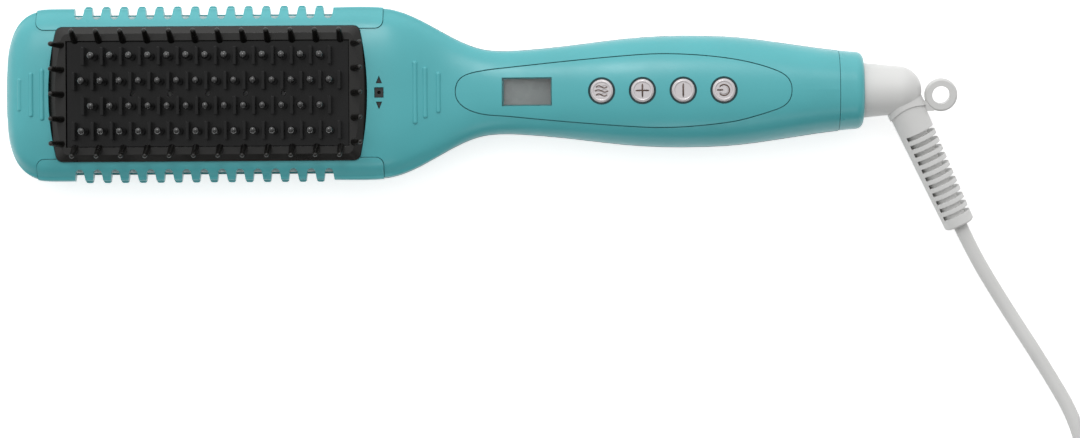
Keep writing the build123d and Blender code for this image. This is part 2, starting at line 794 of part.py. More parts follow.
def frame_bristle_places():
    """Roots around the window, each leaning away from it."""
    z = PAD_TOP - ROOT_BURIED
    side = WINDOW_HALF + SIDE_ROOT_STEP
    end = WINDOW_LENGTH / 2 + END_ROOT_STEP
    places = []
    for n in range(SIDE_BRISTLES):
        s = PAD_CENTRE + SIDE_PITCH * (n - (SIDE_BRISTLES - 1) / 2)
        places += [Pos(s, side, z) * Rot(-SPLAY, 0, 0), Pos(s, -side, z) * Rot(SPLAY, 0, 0)]
    for n in range(END_BRISTLES):
        y = END_PITCH * (n - (END_BRISTLES - 1) / 2)
        places.append(Pos(PAD_CENTRE - end, y, z) * Rot(0, -SPLAY, 0))
        places.append(Pos(PAD_CENTRE + end, y, z) * Rot(0, SPLAY, 0))
    return places


def bristle_frame():
    base = upright(pad_outline(0), PAD_SEAT, PAD_SHOULDER)
    crown = loft([Pos(0, 0, PAD_SHOULDER) * pad_outline(0), Pos(0, 0, PAD_TOP) * pad_outline(-PAD_SLOPE_IN)])
    return (base + crown) - window(0, PLATE_UNDER, TALL) - window(LIP, 0, TALL)


def frame_bristles(frame):
    """The outer bristles, cut to sit on the frame's top and its inner wall."""
    bristle = frame_bristle()
    return group([(place * bristle) - frame for place in frame_bristle_places()])


def heating_plate():
    plate = window(PLATE_GAP, PLATE_UNDER, PLATE_TOP)
    ports = [post(s, 0, 0, TALL, STEAM_PORT_RADIUS) for s in port_stations()]
    bore = CLAMP_SCREW_RADIUS + SCREW_CLEAR
    screws = [post(s, 0, 0, PLATE_TOP - PLATE_THICK / 4, bore) for s in clamp_screw_stations()]
    return plate - ports - screws


def bristle_posts():
    """Heated pins that stand on the plate and carry the caps."""
    pin = post(0, 0, PLATE_TOP, POST_TOP, POST_RADIUS)
    return group([Pos(s, y, 0) * pin for y, stations in bristle_rows() for s in stations])


def heating_blades():
    """Heated blades between the pins, and one before the first pin of each row."""
    half = BLADE_THICK / 2
    side = BLADE_LENGTH / 2
    blade = block(-half, half, -side, side, PLATE_TOP, BLADE_TOP)
    places = []
    for y, stations in bristle_rows():
        places += [Pos(s + BRISTLE_PITCH / 2, y, 0) for s in [stations[0] - BRISTLE_PITCH, *stations]]
    return group([place * blade for place in places])


def bristle_caps():
    straight = CAP_TOP - CAP_RADIUS - CAP_FOOT
    cap = Pos(0, 0, CAP_FOOT + straight / 2) * Cylinder(CAP_RADIUS, straight)
    cap += Pos(0, 0, CAP_TOP - CAP_RADIUS) * Sphere(CAP_RADIUS)
    cap -= post(0, 0, CAP_FOOT - 1, POST_TOP + CAP_BORE_GAP, POST_RADIUS + CAP_BORE_GAP)
    return group([Pos(s, y, 0) * cap for y, stations in bristle_rows() for s in stations])


# ---- heating stack under the plate ----
def heater_elements():
    half = HEATER_LENGTH / 2
    bars = []
    for side in (1, -1):
        y = side * HEATER_OFFSET
        y0 = y - HEATER_WIDTH / 2
        bars.append(block(PAD_CENTRE - half, PAD_CENTRE + half, y0, y0 + HEATER_WIDTH, HEATER_UNDER, PLATE_UNDER))
    return group(bars)


def heater_clamp():
    half = CLAMP_LENGTH / 2
    low = HEATER_UNDER - CLAMP_THICK
    sheet = block(PAD_CENTRE - half, PAD_CENTRE + half, -CLAMP_HALF, CLAMP_HALF, low, HEATER_UNDER)
    slot = CHAMBER_LENGTH / 2 + CLAMP_GAP
    side = CHAMBER_HALF + CLAMP_GAP
    sheet -= block(PAD_CENTRE - slot, PAD_CENTRE + slot, -side, side, 0, TALL)
    bore = CLAMP_SCREW_RADIUS + SCREW_CLEAR
    return sheet - [post(s, 0, 0, TALL, bore) for s in clamp_screw_stations()]


def clamp_screws():
    seat = HEATER_UNDER - CLAMP_THICK
    screws = []
    for s in clamp_screw_stations():
        head = post(s, 0, seat - SCREW_HEAD_THICK, seat, SCREW_HEAD)
        screws.append(head + post(s, 0, seat - SEAM, PLATE_TOP - PLATE_THICK / 3, CLAMP_SCREW_RADIUS))
    return group(screws)


def steam_chamber():
    half = CHAMBER_LENGTH / 2
    wall = CHAMBER_WALL
    side = CHAMBER_HALF
    box = block(PAD_CENTRE - half, PAD_CENTRE + half, -side, side, CHAMBER_LOW, PLATE_UNDER)
    inner = half - wall
    low = CHAMBER_LOW + wall
    box -= block(PAD_CENTRE - inner, PAD_CENTRE + inner, wall - side, side - wall, low, PLATE_UNDER - wall)
    ports = [post(s, 0, PLATE_UNDER - 2 * wall, TALL, STEAM_PORT_RADIUS) for s in port_stations()]
    inlet = Pos(TUBE_RISE_AT, -side, CHAMBER_LOW + INLET_RISE) * Rot(90, 0, 0) * Cylinder(TUBE_BORE, 3 * wall)
    return box - [*ports, inlet]


def sensor(side, radius, length):
    """A small cylinder across the brush against the plate's underside. side is 1 or -1."""
    y = side * (length / 2 + FUSE_RADIUS)
    return Pos(SENSOR_AT, y, PLATE_UNDER - radius) * Rot(90, 0, 0) * Cylinder(radius, length)


def heat_shield():
    half = WINDOW_LENGTH / 2 - LIP
    top = SHIELD_UNDER + SHIELD_THICK
    sheet = block(PAD_CENTRE - half, PAD_CENTRE + half, -SHIELD_HALF, SHIELD_HALF, SHIELD_UNDER, top)
    return sheet - post(TUBE_RISE_AT, PUMP_Y, 0, TALL, TUBE_RADIUS + CLAMP_GAP)


# ---- water ----
def tank_form(wall, x0, x1):
    """The tank's prism with its chamfered floor, drawn in by wall."""
    side = TANK_HALF - wall
    flat = TANK_FLAT_HALF - wall / 2
    points = [
        (x0, -side, TANK_TOP - wall),
        (x0, side, TANK_TOP - wall),
        (x0, side, TANK_SHOULDER + wall / 2),
        (x0, flat, TANK_FLOOR + wall),
        (x0, -flat, TANK_FLOOR + wall),
        (x0, -side, TANK_SHOULDER + wall / 2),
    ]
    face = Face(Wire(Polyline(*points, close=True).edges()))
    return extrude(face, amount=x1 - x0, dir=(1, 0, 0))


def water_tank():
    neck = shaft(FILLER_FROM, TANK_FROM + TANK_WALL / 2, 0, FILLER_Z, FILLER_OUTER)
    hollow = tank_form(TANK_WALL, TANK_FROM + TANK_WALL, TANK_TO - TANK_WALL)
    mouth = shaft(0, TANK_FROM + 2 * TANK_WALL, 0, FILLER_Z, FILLER_BORE)
    outlet = shaft(TANK_TO - 2 * TANK_WALL, TANK_TO + 1, PUMP_Y, FILLER_Z, TUBE_BORE)
    return tank_form(0, TANK_FROM, TANK_TO) + neck - hollow - mouth - outlet


def filler_plug():
    flange = shaft(FILLER_FROM - PLUG_FLANGE_THICK, FILLER_FROM, 0, FILLER_Z, PLUG_FLANGE)
    stem = shaft(FILLER_FROM - SEAM, FILLER_FROM + PLUG_DEPTH, 0, FILLER_Z, FILLER_BORE - PLUG_GAP)
    return flange + stem


def water_pump():
    y0 = PUMP_Y - PUMP_HALF
    y1 = PUMP_Y + PUMP_HALF
    return block(PUMP_FROM, PUMP_FROM + PUMP_LENGTH, y0, y1, PUMP_FLOOR, SHIELD_UNDER - PUMP_CLEAR)


def water_tubes():
    suction = shaft(TANK_TO, PUMP_FROM, PUMP_Y, FILLER_Z, TUBE_RADIUS)
    z = CHAMBER_LOW + INLET_RISE
    pump_top = SHIELD_UNDER - PUMP_CLEAR
    points = [(TUBE_RISE_AT, PUMP_Y, pump_top), (TUBE_RISE_AT, PUMP_Y, z), (TUBE_RISE_AT, -CHAMBER_HALF, z)]
    return group([suction, tube_along(points, [TUBE_BEND], TUBE_RADIUS)])


# ---- outlet ----
def outlet_insert():
    top = HEAD_FRONT - WALL - SEAM
    low = top - INSERT_THICK
    marks = upright(outlet_marks(MARK_GAP), low, HEAD_FRONT - MARK_SUNK)
    half = INSERT_LENGTH / 2
    plate = block(MARK_AT - half, MARK_AT + half, -INSERT_HALF, INSERT_HALF, low, top - SEAM)
    return marks + plate - post(MARK_AT, 0, 0, TALL, JET_RADIUS)


def ion_generator():
    case_to = MARK_AT + INSERT_LENGTH / 2
    case = block(case_to - ION_LENGTH, case_to, -ION_HALF, ION_HALF, ION_FLOOR, ION_TOP)
    needle_top = HEAD_FRONT - WALL - SEAM - INSERT_THICK - NEEDLE_GAP
    return case + post(MARK_AT, 0, ION_TOP - SEAM, needle_top, NEEDLE_RADIUS)


def heater_leads():
    """Two wires from the heaters' ends, out past the sensors and back to the board's end."""
    start = PAD_CENTRE + HEATER_LENGTH / 2
    seat_end = PAD_CENTRE + WINDOW_LENGTH / 2 - LIP
    outer = HEATER_OFFSET + HEATER_WIDTH / 2 - 2 * WIRE_RADIUS
    low = PAD_SEAT - SEAT_DEPTH - 2 * WIRE_RADIUS
    middle = BOARD_UNDER + BOARD_THICK / 2
    inner = BOARD_HALF - 2.3
    wires = []
    for side in (1, -1):
        points = [
            (start, side * outer, PLATE_UNDER - HEATER_THICK / 2),
            (start + 3, side * outer, PLATE_UNDER - HEATER_THICK / 2),
            (seat_end - 0.6, side * outer, low),
            (DIP_AT - 9, side * (inner + 1), middle + 0.4),
            (BOARD_FROM - 5, side * inner, middle),
            (BOARD_FROM, side * inner, middle),
        ]
        wires.append(wire_along(points))
    return group(wires)


# ---- cord swivel ----
def about_swivel(shape):
    """Turns a piece of the swivel to the angle at which its boot lies on the surface."""
    return shape.rotate(Axis((0, 0, SWIVEL_Z), (1, 0, 0)), SWIVEL_REST)


def on_swivel(x0, x1, radius):
    return shaft(x0, x1, 0, SWIVEL_Z, radius)


def boot_plane():
    angle = math.radians(BOOT_ANGLE)
    along = (math.cos(angle), -math.sin(angle), 0)
    across = (math.sin(angle), math.cos(angle), 0)
    return Plane(origin=(ELBOW_AT, 0, SWIVEL_Z), x_dir=across, z_dir=along)


def in_boot(t0, t1, radius):
    """A cylinder on the boot's axis between two distances from the elbow."""
    return boot_plane().location * Pos(0, 0, (t0 + t1) / 2) * Cylinder(radius, t1 - t0)


def neck_form():
    cone_from = CASING_LENGTH - END_ROUND / 3
    cone = Pos((cone_from + ELBOW_AT) / 2, 0, SWIVEL_Z) * Rot(0, 90, 0)
    cone *= Cone(NECK_RADIUS, ELBOW_RADIUS, ELBOW_AT - cone_from)
    elbow = Pos(ELBOW_AT, 0, SWIVEL_Z) * Sphere(ELBOW_RADIUS)
    return cone + on_swivel(NECK_FROM, cone_from, NECK_RADIUS) + elbow + neck_collar()


def neck_collar():
    """The elbow's short sleeve along the boot, hollowed where the boot's lip lies on it."""
    lip_centre = SADDLE_AT + SADDLE_RADIUS
    lip = Pos(0, 0, lip_centre) * Rot(90, 0, 0) * Cylinder(SADDLE_RADIUS, 4 * COLLAR_RADIUS)
    return in_boot(0, lip_centre - SADDLE_RADIUS / 2, COLLAR_RADIUS) - boot_plane().location * lip


def contact_band(s, radius):
    """A ring around the shaft, as deep as a contact's groove."""
    depth = SHAFT_RADIUS - CONTACT_DEPTH
    return on_swivel(s, s + CONTACT_WIDTH, radius) - on_swivel(s - 1, s + CONTACT_WIDTH + 1, depth)


def hanging_ring():
    """The ring's solid, the web that carries it, and the hole through it."""
    place = Pos(ELBOW_AT + RING_REACH, -RING_DROP, SWIVEL_Z)
    ring = Cylinder(RING_RADIUS, RING_THICK)
    ring = place * chamfer(ring.edges(), RING_CHAMFER)
    web_from = ELBOW_AT + WEB_ROOT
    web_to = ELBOW_AT + RING_REACH - WEB_SHORT
    low = SWIVEL_Z - WEB_THICK / 2
    web = block(web_from, web_to, -WEB_DROP - WEB_WIDTH / 2, -WEB_DROP + WEB_WIDTH / 2, low, low + WEB_THICK)
    return ring, web, place * Cylinder(RING_HOLE, 2 * ELBOW_RADIUS)


def clip_groove(play, radius):
    near = SOCKET_FROM - CLIP_GAP + play
    far = near - CLIP_THICK - 2 * play
    core = SHAFT_RADIUS - CONTACT_DEPTH + BEZEL_GAP - play * BEZEL_GAP / CLIP_PLAY
    return on_swivel(far, near, radius) - on_swivel(far - 1, near + 1, core)


def swivel_neck():
    nose = SOCKET_FROM - CLIP_GAP - CLIP_THICK - SHAFT_NOSE
    spindle = on_swivel(nose, NECK_FROM + 1, SHAFT_RADIUS)
    ring, web, hole = hanging_ring()
    body = neck_form() + spindle + ring + web
    grooves = [contact_band(s, SHAFT_RADIUS + 1) for s in CONTACT_STATIONS]
    wire_bore = on_swivel(nose - 1, ELBOW_AT, BORE_RADIUS)
    socket = in_boot(0, SPIGOT_TO + 1, SPIGOT_RADIUS)
    cuts = [hole, *grooves, clip_groove(CLIP_PLAY, SHAFT_RADIUS + 1), wire_bore, socket]
    return about_swivel(body - cuts)


def boot_cuts():
    """Ribs' grooves: open at the window side, closed by a spine on the other."""
    wide = 2 * BOOT_RADIUS
    cuts = []
    for k in range(GROOVE_COUNT):
        t = GROOVE_FIRST + GROOVE_PITCH * k
        band = Pos(0, 0, t) * (Cylinder(wide, GROOVE_WIDTH) - Cylinder(GROOVE_CORE, GROOVE_WIDTH))
        spine = Pos(-SPINE_OFFSET - wide, 0, t) * Box(2 * wide, 2 * wide, GROOVE_WIDTH)
        deep = Pos(WINDOW_CORE + wide, 0, t) * Box(2 * wide, 2 * wide, GROOVE_WIDTH)
        cuts += [band - spine, deep]
    return cuts


def cable_boot():
    place = boot_plane().location
    cone = Pos(0, 0, BOOT_LENGTH / 2) * Cone(BOOT_RADIUS, BOOT_END_RADIUS, BOOT_LENGTH)
    cone = chamfer(cone.edges().group_by(Axis.Z)[-1], 0.5)
    ring, web, hole = hanging_ring()
    sleeve = place * (cone - boot_cuts()) - [neck_form(), ring, web]
    outside = sleeve.solids().sort_by(SortBy.VOLUME)[-1]
    spigot = in_boot(SPIGOT_FROM, SPIGOT_TO, SPIGOT_RADIUS)
    return about_swivel(outside + spigot - in_boot(-1, BOOT_LENGTH + 1, LEAD_RADIUS))


def boot_lead():
    return about_swivel(in_boot(SPIGOT_FROM, BOOT_LENGTH, LEAD_RADIUS))


def contact_rings():
    return about_swivel(group([contact_band(s, SHAFT_RADIUS) for s in CONTACT_STATIONS]))


def swivel_clip():
    clip = clip_groove(0, CLIP_RADIUS)
    near = SOCKET_FROM
    far = near - CLIP_THICK - 2 * CLIP_GAP
    mouth = block(far, near, -CLIP_MOUTH / 2, CLIP_MOUTH / 2, SWIVEL_Z - 2 * CLIP_RADIUS, SWIVEL_Z)
    return about_swivel(clip - mouth)


def swivel_socket():
    barrel = on_swivel(SOCKET_FROM, SOCKET_TO, SOCKET_RADIUS)
    flange = SOCKET_FORM & block(FLANGE_FROM, FLANGE_TO, -WIDE, WIDE, -WALL, TALL)
    bore = on_swivel(SOCKET_FROM - 1, SOCKET_TO + 1, SHAFT_RADIUS + SHAFT_GAP)
    return barrel + flange - [bore, *[leaf_block(s, side, SLOT_GAP) for side, s in contact_sides()]]


def contact_sides():
    return zip((1, -1), CONTACT_STATIONS)


def leaf_block(s, side, gap):
    """A contact leaf beside the centre line, or with a gap the slot that it stands in."""
    low = SWIVEL_Z + SHAFT_RADIUS + LEAF_GAP - 2 * gap
    y0 = side * (LEAF_INNER - gap)
    y1 = side * (LEAF_OUTER + gap)
    return block(s - gap, s + CONTACT_WIDTH + gap, y0, y1, low, LEAF_TOP + gap)


def contact_springs():
    return group([leaf_block(s, side, 0) for side, s in contact_sides()])


def supply_leads():
    """Two wires from the board's end, over the socket, to the contact leaves."""
    middle = BOARD_UNDER + BOARD_THICK / 2
    outer = BOARD_HALF / 2
    inner = (LEAF_INNER + LEAF_OUTER) / 2
    top = LEAF_TOP - WIRE_RADIUS
    wires = []
    for side, s in contact_sides():
        points = [
            (BOARD_TO, side * outer, middle),
            (BOARD_TO + 3.5, side * outer, middle),
            (SOCKET_FROM - 4.2, side * outer, top - 0.4),
            (SOCKET_FROM + 0.3, side * inner, top),
            (s, side * inner, top),
        ]
        wires.append(wire_along(points))
    return group(wires)


# ---- mains lead ----
def boot_axis_point(t):
    """The point on the boot's axis at distance t from the elbow, in the object's frame."""
    angle = math.radians(BOOT_ANGLE)
    lean = math.radians(SWIVEL_REST)
    out = t * math.sin(angle)
    x = ELBOW_AT + t * math.cos(angle) - REACH / 2
    return (x, -out * math.cos(lean), SWIVEL_Z - out * math.sin(lean))


def lead_along(points):
    """A stretch of the lead, with its bend radii and volume printed for a look."""
    radii = bend_radii(points)
    lead = tube_along(points, radii, LEAD_RADIUS)
    length = FilletPolyline(*points, radius=radii).length
    drawn = math.pi * LEAD_RADIUS**2 * length
    print("bend radii", [round(r, 1) for r in radii], "length", round(length, 1))
    print("volume", round(lead.volume), "section times length", round(drawn))
    return lead


def mains_cord():
    start = [boot_axis_point(BOOT_LENGTH), boot_axis_point(BOOT_LENGTH + LEAD_STRAIGHT)]
    return lead_along([*start, *LEAD_ROUTE]) - cord_coil()


def cord_coil():
    outer = COIL_TURN_RADIUS + LEAD_RADIUS
    inner = COIL_TURN_RADIUS - 2 * LEAD_RADIUS * COIL_TURNS_WIDE - LEAD_RADIUS
    high = 2 * LEAD_RADIUS * COIL_LAYERS + 2 * (LEAD_REST - LEAD_RADIUS)
    return Pos(COIL_X, COIL_Y, high / 2) * (Cylinder(outer, high) - Cylinder(inner, high))


def cord_tail():
    return lead_along(TAIL_ROUTE) - cord_coil()


def plug_plane():
    end = Vector(*TAIL_ROUTE[-1])
    along = end - Vector(*TAIL_ROUTE[-2])
    level = Vector(along.X, along.Y, 0).normalized()
    return Plane(origin=end, x_dir=(0, 0, 1), z_dir=level)


def plug_pins():
    length = BLADE_PIN_LENGTH + BLADE_PIN_ROOT
    middle = PLUG_RELIEF + PLUG_LENGTH - BLADE_PIN_ROOT + length / 2
    pin = Box(BLADE_PIN_WIDTH, BLADE_PIN_THICK, length)
    return [Pos(0, side * BLADE_PIN_SPACING / 2, middle) * pin for side in (1, -1)]


def plug_body():
    relief = Pos(0, 0, PLUG_RELIEF / 2) * Cone(PLUG_RELIEF_ROOT, PLUG_RELIEF_END, PLUG_RELIEF)
    grip = Pos(0, 0, PLUG_RELIEF + PLUG_LENGTH / 2) * Box(PLUG_THICK, PLUG_WIDTH, PLUG_LENGTH)
    grip = chamfer(grip.edges().filter_by(Axis.Z), PLUG_CHAMFER)
    return plug_plane().location * (relief + grip - plug_pins())


def plug_blades():
    return group([plug_plane().location * pin for pin in plug_pins()])


# ---- writing the pieces ----
SOCKET_FORM = casing(WALL + SLOT_GAP)
BUTTONS = dict(zip(("steam", "plus", "minus", "power"), button_stations()))


def save(name, shape, place=SHIFT):
    solids = (place * shape).solids()
    whole = solids[0] if len(solids) == 1 else group(solids)
    export_step(whole, f"parts/{name}.step")


def save_head():
    save("front_shell", front_shell())
    save("back_shell", back_shell())
    save("upper_comb_strip", comb_strip(1))
    save("lower_comb_strip", comb_strip(-1))
    save("tail_cap", tail_cap())
    save("casing_screws", casing_screws())
    frame = bristle_frame()
    save("bristle_frame", frame)
    save("frame_bristles", frame_bristles(frame))
    save("heating_plate", heating_plate())
    save("heating_blades", heating_blades())
    save("bristle_posts", bristle_posts())
    save("bristle_caps", bristle_caps())


def save_heating():
    save("heater_elements", heater_elements())
    save("heater_clamp", heater_clamp())
    save("clamp_screws", clamp_screws())
    save("steam_chamber", steam_chamber())
    save("thermistor", sensor(1, SENSOR_RADIUS, SENSOR_LENGTH))
    save("thermal_fuse", sensor(-1, FUSE_RADIUS, FUSE_LENGTH))
    save("heat_shield", heat_shield())
    save("water_tank", water_tank())
    save("filler_plug", filler_plug())
    save("water_pump", water_pump())
    save("water_tubes", water_tubes())
    save("outlet_insert", outlet_insert())
    save("ion_generator", ion_generator())
    save("heater_leads", heater_leads())


def save_handle():
    save("control_fascia", control_fascia())
    save("display_lens", display_lens())
    save("display_module", display_module())
    save("button_bezels", button_bezels())
    for kind, s in BUTTONS.items():
        save(f"{kind}_button", button(kind, s))
    save("tact_switches", tact_switches())
    save("main_board", main_board())
    save("board_components", board_components())
    save("board_screws", board_screws())
    save("supply_leads", supply_leads())
    save("swivel_socket", swivel_socket())
    save("contact_springs", contact_springs())


def save_swivel():
    save("contact_rings", contact_rings())
    save("swivel_clip", swivel_clip())
    save("swivel_neck", swivel_neck())
    save("cable_boot", cable_boot())
    save("boot_lead", boot_lead())


def save_lead():
    save("mains_cord", mains_cord(), FRAME)
    save("cord_coil", cord_coil(), FRAME)
    save("cord_tail", cord_tail(), FRAME)
    save("plug_body", plug_body(), FRAME)
    save("plug_blades", plug_blades(), FRAME)


def main():
    os.makedirs("parts", exist_ok=True)
    save_head()
    save_heating()
    save_handle()
    save_swivel()
    save_lead()
    print("station shift", round(-REACH / 2, 3), "boot tip", boot_axis_point(BOOT_LENGTH))


main()
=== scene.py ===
"""Looks of the steam hair straightener brush, dressed over its CAD frame.

Lengths are in metres, apart from the lead's route and the buttons' faces, which are in millimetres.
X runs from the head's tip towards the mains lead, Y across the brush, Z up out of the bristle side.
"""

import json
import math

import bmesh
import bpy
from mathutils import Matrix, Vector


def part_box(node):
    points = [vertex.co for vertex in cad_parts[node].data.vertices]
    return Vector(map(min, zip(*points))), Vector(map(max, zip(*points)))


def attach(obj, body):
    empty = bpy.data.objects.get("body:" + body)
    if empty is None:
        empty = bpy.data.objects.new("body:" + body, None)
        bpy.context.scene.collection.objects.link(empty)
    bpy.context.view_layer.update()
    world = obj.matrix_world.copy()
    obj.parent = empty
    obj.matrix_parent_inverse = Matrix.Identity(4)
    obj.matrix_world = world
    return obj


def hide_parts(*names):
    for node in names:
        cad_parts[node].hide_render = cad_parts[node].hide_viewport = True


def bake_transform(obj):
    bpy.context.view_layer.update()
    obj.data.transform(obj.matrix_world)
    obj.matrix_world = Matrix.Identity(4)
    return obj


MM = 0.001

# ---- view ----
PIXEL = 0.35 * MM
IMAGE_WIDTH = 1080
IMAGE_HEIGHT = 438
ORIGIN_U = 482.2
ORIGIN_V = 92.7
ROLL = 0.0065
FOCUS_Z = 13 * MM
EYE_DISTANCE = 1.4
SENSOR = 36.0
CLIP_NEAR = 0.05
CLIP_FAR = 20

# ---- light ----
SKY_RANGE = (0.03, 1.56)
SKY_ACROSS = (-0.25, 0.97, 0.0)
KEY_PLACE = (-0.1, 0.64, 1.05)
KEY_SIZE = (0.42, 0.32)
KEY_POWER = 3.2
FILL_PLACE = (0.1, -0.95, 0.8)
FILL_SIZE = (0.3, 0.2)
FILL_POWER = 0.7
FLOOR_GLOW = 0.62
FLOOR_HALF = 3.0
FLOOR_DROP = 0.2 * MM

# ---- finishes ----
SOFT_EDGE = 0.2 * MM
BEVEL_SAMPLES = 6
TINT_CHANGE = 0.03
TINT_SIZE = 22 * MM
GLOSS_SIZE = 9 * MM
GLOSS_DETAIL = 3.0
GRAIN_SIZE = 0.35 * MM
GRAIN_DEPTH = 0.006 * MM
METAL_TINT_CHANGE = 0.06
METAL_TINT_SIZE = 3 * MM
METAL_GLOSS_SIZE = 1.2 * MM
METAL_GRAIN_SIZE = 0.2 * MM
METAL_GRAIN_DEPTH = 0.004 * MM
# places of the colour sockets on the Mix node, which shares their names with its other kinds
MIX_FIRST = 6
MIX_SECOND = 7
MIX_RESULT = 2

# ---- the mains lead: radius and length in metres, the route in millimetres ----
LEAD_RADIUS = 2.45 * MM
LEAD_REST = 2.55
BOOT_TIP = (167.555, -47.098, 5.625)
LEAD_ROUTE = (
    BOOT_TIP,
    (172.37, -57.3, 4.03),
    (182.8, -74.6, LEAD_REST),
    (196.6, -96.0, LEAD_REST),
    (209.8, -118.6, LEAD_REST),
    (213.6, -144.0, LEAD_REST),
)
COIL_CENTRE = (254.6, -155.0)
COIL_RADIUS = 40.6
COIL_PITCH = 5.0
COIL_TURNS = 4.25
COIL_STEPS = 24
CLIMB_STEPS = 4
UPPER_LAYER = 7.55
TAIL_ROUTE = ((295.6, -139.0, 6.2), (293.4, -123.5, 6.2))
LEAD_SIDES = 20
LINE_STEPS = 8
LINE_ORDER = 3

# ---- painted seam shadow and painted notch highlights ----
PARTING_Z = 11.85 * MM
PARTING_RADIUS = 0.14 * MM
PARTING_SIDES = 6
WELD = 0.001 * MM
NOTCH_STRIP_INNER = 24.0 * MM
NOTCH_STRIP_OUTER = 27.2 * MM
NOTCH_STRIP_TOP = 16.0 * MM
NOTCH_STRIP_ROUND = 0.4 * MM
NOTCH_STRIP_STEPS = 6
NOTCH_STRIP_INSET = 1 * MM

# ---- button faces, in millimetres apart from FACE_DEPTH ----
FACE_DEPTH = 0.02 * MM
FACE_SINK = 0.08
RIM_OUTER = 3.65
RIM_PEAK = 3.3
RIM_INNER = 2.85
RIM_HIGH = 0.16
RIM_FOOT = -0.05
RIM_OUTER_STEP = 0.12
RIM_OUTER_SHARE = 0.7
RIM_INNER_STEP = 0.15
RIM_INNER_SHARE = 0.6
RIM_SIDES = 64
STROKE = 0.46
SIGN_SIDES = 8
SIGN_HALF = 2.35
POWER_START = 130
POWER_SWEEP = 280
POWER_STEPS = 28
POWER_SHARE = 0.82
POWER_STEM_END = 0.3
WAVE_GAP = 1.4
WAVE_SWING = 0.4
WAVE_SHORTER = 0.3
WAVE_STEPS = 12

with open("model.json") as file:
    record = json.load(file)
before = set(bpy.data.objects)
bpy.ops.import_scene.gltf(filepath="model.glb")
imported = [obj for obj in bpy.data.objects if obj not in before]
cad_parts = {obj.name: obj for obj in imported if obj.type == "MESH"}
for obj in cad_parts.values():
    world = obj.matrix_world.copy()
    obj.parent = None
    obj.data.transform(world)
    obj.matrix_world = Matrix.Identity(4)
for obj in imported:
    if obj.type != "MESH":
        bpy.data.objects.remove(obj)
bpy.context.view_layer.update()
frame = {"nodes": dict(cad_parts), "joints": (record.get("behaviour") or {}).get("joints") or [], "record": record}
nodes = frame["nodes"]


# ---- shader helpers ----
def set_range(node, values):
    """Sets a Map Range node's four ends."""
    for socket, value in zip(("From Min", "From Max", "To Min", "To Max"), values):
        node.inputs[socket].default_value = value


class Paint:
    """One material's node tree, built up from its Principled shader."""

    def __init__(self, name, color, **sockets):
        self.material = bpy.data.materials.new(name)
        self.material.use_nodes = True
        self.tree = self.material.node_tree
        self.shader = self.tree.nodes["Principled BSDF"]
        self.color = (*color, 1.0)
        self.set("Base Color", self.color)
        for socket, value in sockets.items():
            self.set(socket.replace("_", " "), value)
        self.place = self.add("ShaderNodeTexCoord").outputs["Object"]
        self.normal = None

    def add(self, kind, **settings):
        made = self.tree.nodes.new(kind)
        for key, value in settings.items():
            setattr(made, key, value)
        return made

    def set(self, socket, value):
        self.shader.inputs[socket].default_value = value

    def link(self, output, socket):
        self.tree.links.new(output, socket)

    def noise(self, size, detail=2.0):
        """Clouds whose features are about size metres across, from 0 to 1."""
        made = self.add("ShaderNodeTexNoise")
        made.inputs["Scale"].default_value = 1 / size
        made.inputs["Detail"].default_value = detail
        self.link(self.place, made.inputs["Vector"])
        return made.outputs["Fac"]

    def between(self, factor, low, high, start=0.3, end=0.7):
        """Maps factor from start..end to low..high."""
        made = self.add("ShaderNodeMapRange")
        set_range(made, (start, end, low, high))
        self.link(factor, made.inputs["Value"])
        return made.outputs["Result"]

    def mix(self, factor, first, second):
        """Blends two plain colours by factor."""
        made = self.add("ShaderNodeMix", data_type="RGBA")
        self.link(factor, made.inputs["Factor"])
        made.inputs[MIX_FIRST].default_value = first
        made.inputs[MIX_SECOND].default_value = second
        return made.outputs[MIX_RESULT]

    def clouds(self, size, change):
        """Two close tints of the colour in soft clouds."""
        darker = tuple(c * (1 - change) for c in self.color[:3]) + (1.0,)
        lighter = tuple(min(c * (1 + change), 1.0) for c in self.color[:3]) + (1.0,)
        factor = self.between(self.noise(size), 0.0, 1.0)
        self.link(self.mix(factor, darker, lighter), self.shader.inputs["Base Color"])
        return self

    def gloss(self, size, low, high):
        """Roughness that wanders between two values."""
        wander = self.between(self.noise(size, GLOSS_DETAIL), low, high)
        self.link(wander, self.shader.inputs["Roughness"])
        return self

    def soften(self, radius):
        """Edges that catch the light as if they were rounded."""
        bevel = self.add("ShaderNodeBevel", samples=BEVEL_SAMPLES)
        bevel.inputs["Radius"].default_value = radius
        self.normal = bevel.outputs["Normal"]
        return self

    def grain(self, size, depth):
        """A fine relief over whatever relief is there already."""
        bump = self.add("ShaderNodeBump")
        bump.inputs["Distance"].default_value = depth
        self.link(self.noise(size), bump.inputs["Height"])
        if self.normal is not None:
            self.link(self.normal, bump.inputs["Normal"])
        self.normal = bump.outputs["Normal"]
        self.link(self.normal, self.shader.inputs["Normal"])
        return self


def moulded(name, color, low, high, change=TINT_CHANGE, edge=SOFT_EDGE, **sockets):
    """Injection-moulded plastic: close tints, uneven gloss, soft edges, spark-eroded grain."""
    paint = Paint(name, color, **sockets).soften(edge)
    paint.clouds(TINT_SIZE, change).gloss(GLOSS_SIZE, low, high)
    return paint.grain(GRAIN_SIZE, GRAIN_DEPTH).material


def metal(name, color, low, high):
    """Bare metal: close tints, uneven gloss, fine grain."""
    paint = Paint(name, color, Metallic=1.0)
    paint.clouds(METAL_TINT_SIZE, METAL_TINT_CHANGE).gloss(METAL_GLOSS_SIZE, low, high)
    return paint.grain(METAL_GRAIN_SIZE, METAL_GRAIN_DEPTH).material


